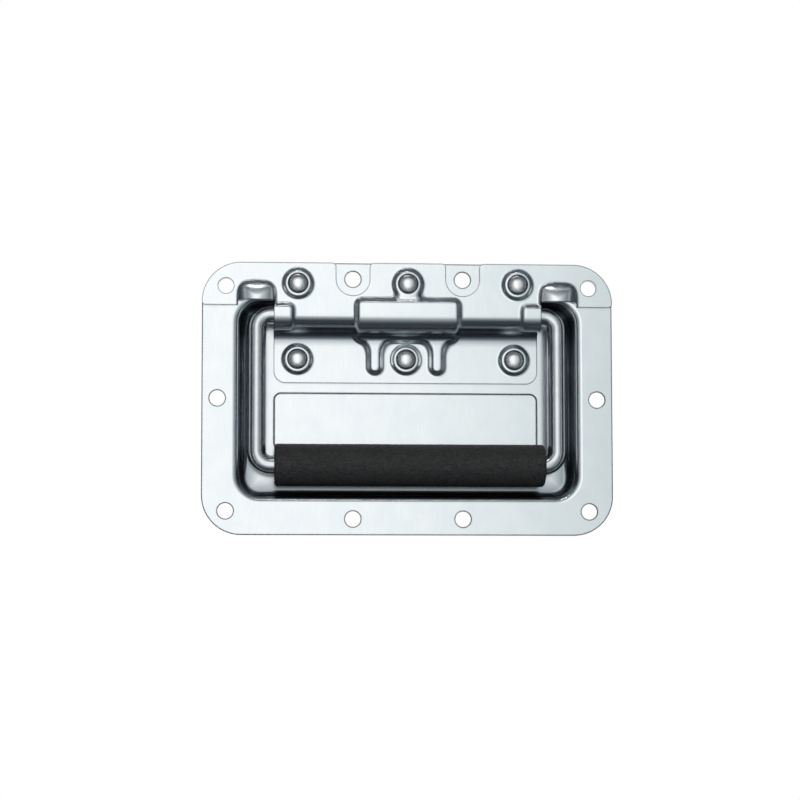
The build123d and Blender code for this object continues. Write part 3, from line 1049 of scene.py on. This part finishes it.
# ------------------------------------------------------------------ rivets
@dataclass
class Rivet:
    """A domed rivet with a thin coined rim, a shank and a flat tail."""

    name: str
    x: float
    z: float
    seat_y: float
    head: float = 4.4
    height: float = 1.9
    shank: float = 2.4
    tail: float = 3.5
    grip: float = 2.4
    tail_height: float = 1.3
    rim: float = 0.28
    rim_foot: float = 0.168
    rim_tuck: float = 0.08
    seat_gap: float = 0.02
    tail_bevel: float = 0.4
    sharp_degrees: float = 30.0
    dome_end: float = 4.0
    dome_steps: int = 22
    steps: int = 48

    def profile(self) -> np.ndarray:
        """Dome by an ellipse quarter above a short upright rim, then shank and tail.

        Returns:
            Radii and heights out of the seat.
        """
        a = np.radians(np.linspace(90.0, self.dome_end, self.dome_steps))
        rim, seat = self.rim, self.seat_gap
        dome = np.column_stack((self.head * np.cos(a), rim + (self.height - rim) * np.sin(a)))
        dome[0, 0] = 0.0
        edge = np.array([[self.head, self.rim_foot], [self.head - self.rim_tuck, seat], [self.shank, seat]])
        low, bevel = -self.grip, self.tail_bevel
        end = low - self.tail_height
        wide = self.tail
        shoulder = [[self.shank, low], [wide, low], [wide, end + bevel]]
        tail = np.array([*shoulder, [wide - bevel, end], [0.0, end]])
        return np.vstack((dome, edge, tail))

    def build(self) -> bpy.types.Object:
        """Turn the profile, with its axis along -Y.

        Returns:
            The rivet.
        """
        points, faces = turned(self.profile(), self.steps)
        placed = points * np.array([1.0, -1.0, 1.0]) + np.array([self.x, self.seat_y, self.z])
        piece = new_piece(self.name + "_domed", placed, faces)
        finish_mesh(piece, self.sharp_degrees)
        RIVET_STEEL.dress(piece)
        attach(piece, "housing")
        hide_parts(self.name)
        return piece


# ------------------------------------------------------------------ studio
@dataclass
class Studio:
    """Floor, white surround, dark cards for the metal to show, a lamp and the camera."""

    eye: Triple = (-62.0, -862.0, -95.0)
    aim: Triple = (-16.6, -1.2, -34.0)
    shift: Span = (0.0397, 0.10)
    width_at_flange: float = 332.9
    sensor: float = 36.0
    diffuse_level: float = 0.75
    floor_half: float = 900.0
    floor_z: float = -620.0
    floor_tone: float = 0.9
    floor_roughness: float = 0.9
    card_distance: float = 480.0
    card_overlap: float = 1.02
    card_reach: Span = (-1.40, 0.20)
    card_stops: Stops = (
        (0.0, (0.80, 0.82, 0.83)),
        (0.22, (0.56, 0.59, 0.60)),
        (0.42, (0.32, 0.35, 0.36)),
        (0.54, (0.17, 0.19, 0.205)),
        (0.64, (0.070, 0.084, 0.096)),
        (0.75, (0.022, 0.030, 0.040)),
        (0.86, (0.05, 0.065, 0.08)),
        (1.0, (0.16, 0.18, 0.20)),
    )
    bands: dict[str, list[Span]] = field(
        default_factory=lambda: {
            "left": [(20.0, 46.0), (49.0, 112.0)],
            "right": [(24.0, 50.0), (53.0, 112.0)],
            "top": [(27.0, 56.0), (59.0, 112.0)],
            "low": [(20.0, 112.0)],
        }
    )
    panel_middle: Triple = (60.0, -1600.0, 40.0)
    panel_half: Span = (1000.0, 900.0)
    panel_stops: Stops = (
        (0.0, (0.30, 0.34, 0.36)),
        (0.28, (1.00, 1.01, 1.01)),
        (0.38, (1.17, 1.15, 1.14)),
        (0.52, (1.15, 1.14, 1.14)),
        (0.60, (0.84, 0.87, 0.87)),
        (0.68, (0.64, 0.70, 0.70)),
        (0.80, (0.42, 0.47, 0.49)),
        (1.0, (0.20, 0.23, 0.25)),
    )
    lamp_place: Triple = (-100.0, -640.0, 640.0)
    lamp_size: float = 0.45
    lamp_watts: float = 3.5

    def camera(self) -> None:
        """Place the camera and make it the scene's."""
        lens = bpy.data.cameras.new("camera")
        eye = bpy.data.objects.new("camera", lens)
        bpy.context.scene.collection.objects.link(eye)
        eye.location = Vector(self.eye) * MM
        toward = (Vector(self.aim) - Vector(self.eye)) * MM
        eye.rotation_euler = toward.to_track_quat("-Z", "Y").to_euler()
        lens.sensor_width = self.sensor
        lens.lens = self.sensor * toward.length / (self.width_at_flange * MM)
        lens.shift_x, lens.shift_y = self.shift
        bpy.context.scene.camera = eye

    def surround(self) -> None:
        """White world: full strength where it is seen or mirrored, a little less as light."""
        world = bpy.data.worlds.new("surround")
        bpy.context.scene.world = world
        world.use_nodes = True
        tree = world.node_tree
        shown = tree.nodes["Background"]
        shown.inputs["Color"].default_value = (1.0, 1.0, 1.0, 1.0)
        path = tree.nodes.new("ShaderNodeLightPath")
        level = tree.nodes.new("ShaderNodeMapRange")
        level.inputs["To Min"].default_value = self.diffuse_level
        level.inputs["To Max"].default_value = 1.0
        seen = maths(tree, "MAXIMUM", path.outputs["Is Camera Ray"], path.outputs["Is Glossy Ray"])
        seen = maths(tree, "MAXIMUM", seen, path.outputs["Is Transmission Ray"])
        tree.links.new(seen, level.inputs["Value"])
        tree.links.new(level.outputs["Result"], shown.inputs["Strength"])

    def floor(self) -> None:
        """A wide white floor below the handle, white where it is seen straight on."""
        half, low = self.floor_half, self.floor_z
        points = np.array([[-half, -half, low], [half, -half, low], [half, half, low], [-half, half, low]])
        floor = new_piece("floor", points, [[0, 1, 2, 3]])
        paint = bpy.data.materials.new("white_floor")
        paint.use_nodes = True
        tree = paint.node_tree
        shader = tree.nodes["Principled BSDF"]
        shader.inputs["Base Color"].default_value = (self.floor_tone,) * 3 + (1.0,)
        shader.inputs["Roughness"].default_value = self.floor_roughness
        path = tree.nodes.new("ShaderNodeLightPath")
        glow = tree.nodes.new("ShaderNodeEmission")
        mix = tree.nodes.new("ShaderNodeMixShader")
        tree.links.new(path.outputs["Is Camera Ray"], mix.inputs["Fac"])
        tree.links.new(shader.outputs["BSDF"], mix.inputs[1])
        tree.links.new(glow.outputs["Emission"], mix.inputs[2])
        tree.links.new(mix.outputs["Shader"], tree.nodes["Material Output"].inputs["Surface"])
        floor.data.materials.append(paint)

    @staticmethod
    def _mirrored_only(name: str, corners: np.ndarray, paint: bpy.types.Material) -> None:
        """Add a flat sheet that is only seen in reflections.

        Args:
            name: Its name.
            corners: Its four corners, in millimetres.
            paint: Its material.
        """
        card = new_piece(name, corners, [[0, 1, 2, 3]])
        card.data.materials.append(paint)
        card.visible_camera = False
        card.visible_diffuse = False
        card.visible_shadow = False

    def cards(self) -> None:
        """Dark cards in rings round the front; the gaps between them show white.

        They glow grey at the front end and fade to near black beside the handle.  A band's limits are
        angles from the line of sight, in degrees.
        """
        paint = glow_paint("dark_card", "Y", self.card_reach, self.card_stops)
        d = self.card_distance
        sides = {"left": (-1.0, 0.0), "right": (1.0, 0.0), "top": (0.0, 1.0), "low": (0.0, -1.0)}
        for side, (dx, dz) in sides.items():
            along = np.array([dz, 0.0, dx]) * d * self.card_overlap
            base = np.array([dx, 0.0, dz]) * d
            for number, band in enumerate(self.bands[side]):
                near, far = (np.array([0.0, -d / math.tan(math.radians(angle)), 0.0]) for angle in band)
                low, high = base - along, base + along
                corners = np.array([low + near, high + near, high + far, low + far])
                self._mirrored_only(f"card_{side}_{number}", corners, paint)

    def panel(self) -> None:
        """A soft panel behind the camera, brightest left of the middle and dimmer to the right."""
        wide, high = self.panel_half
        left, right = (self.panel_middle[0] - wide) * MM, (self.panel_middle[0] + wide) * MM
        paint = glow_paint("soft_panel", "X", (left, right), self.panel_stops)
        corners = np.array([[-wide, 0.0, -high], [wide, 0.0, -high], [wide, 0.0, high], [-wide, 0.0, high]])
        self._mirrored_only("front_panel", np.array(self.panel_middle) + corners, paint)

    def lamp(self, name: str) -> None:
        """Add a soft square lamp that faces the middle of the handle.

        Args:
            name: Its name.
        """
        light = bpy.data.lights.new(name, "AREA")
        light.size = self.lamp_size
        light.energy = self.lamp_watts
        holder = bpy.data.objects.new(name, light)
        holder.location = Vector(self.lamp_place) * MM
        holder.rotation_euler = (-holder.location).to_track_quat("-Z", "Y").to_euler()
        holder.visible_camera = False
        bpy.context.scene.collection.objects.link(holder)

    def build(self) -> None:
        """Set everything up."""
        self.surround()
        self.floor()
        self.cards()
        self.panel()
        self.lamp("lamp_high")
        self.camera()


# ------------------------------------------------------------------ whole handle
SOLID_FINISHES = {
    "dish": ZINC_SHEET, "bail": ZINC_ROD, "spring_left": SPRING_STEEL, "spring_right": SPRING_STEEL,
}


def dress_solids() -> None:
    """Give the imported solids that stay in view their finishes."""
    for node, finish in SOLID_FINISHES.items():
        finish.dress(bpy.data.objects[node])
        LOG.info("dressed %s", node)


def main() -> None:
    """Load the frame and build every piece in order."""
    logging.basicConfig(level=logging.INFO)
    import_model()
    bpy.context.scene.view_settings.view_transform = "Standard"
    dress_solids()
    plate = HingePlate()
    makers: list[HingePlate | Grip | Rivet] = [plate, Grip()]
    for side, x in (("left", -plate.rivet_x), ("middle", 0.0), ("right", plate.rivet_x)):
        makers.append(Rivet("rivet_upper_" + side, x, plate.rivet_upper, UPPER_SEAT))
        makers.append(Rivet("rivet_lower_" + side, x, plate.rivet_lower, LOWER_SEAT))
    for maker in makers:
        LOG.info("built %s", maker.build().name)
    Studio().build()


if __name__ == "__main__":
    main()
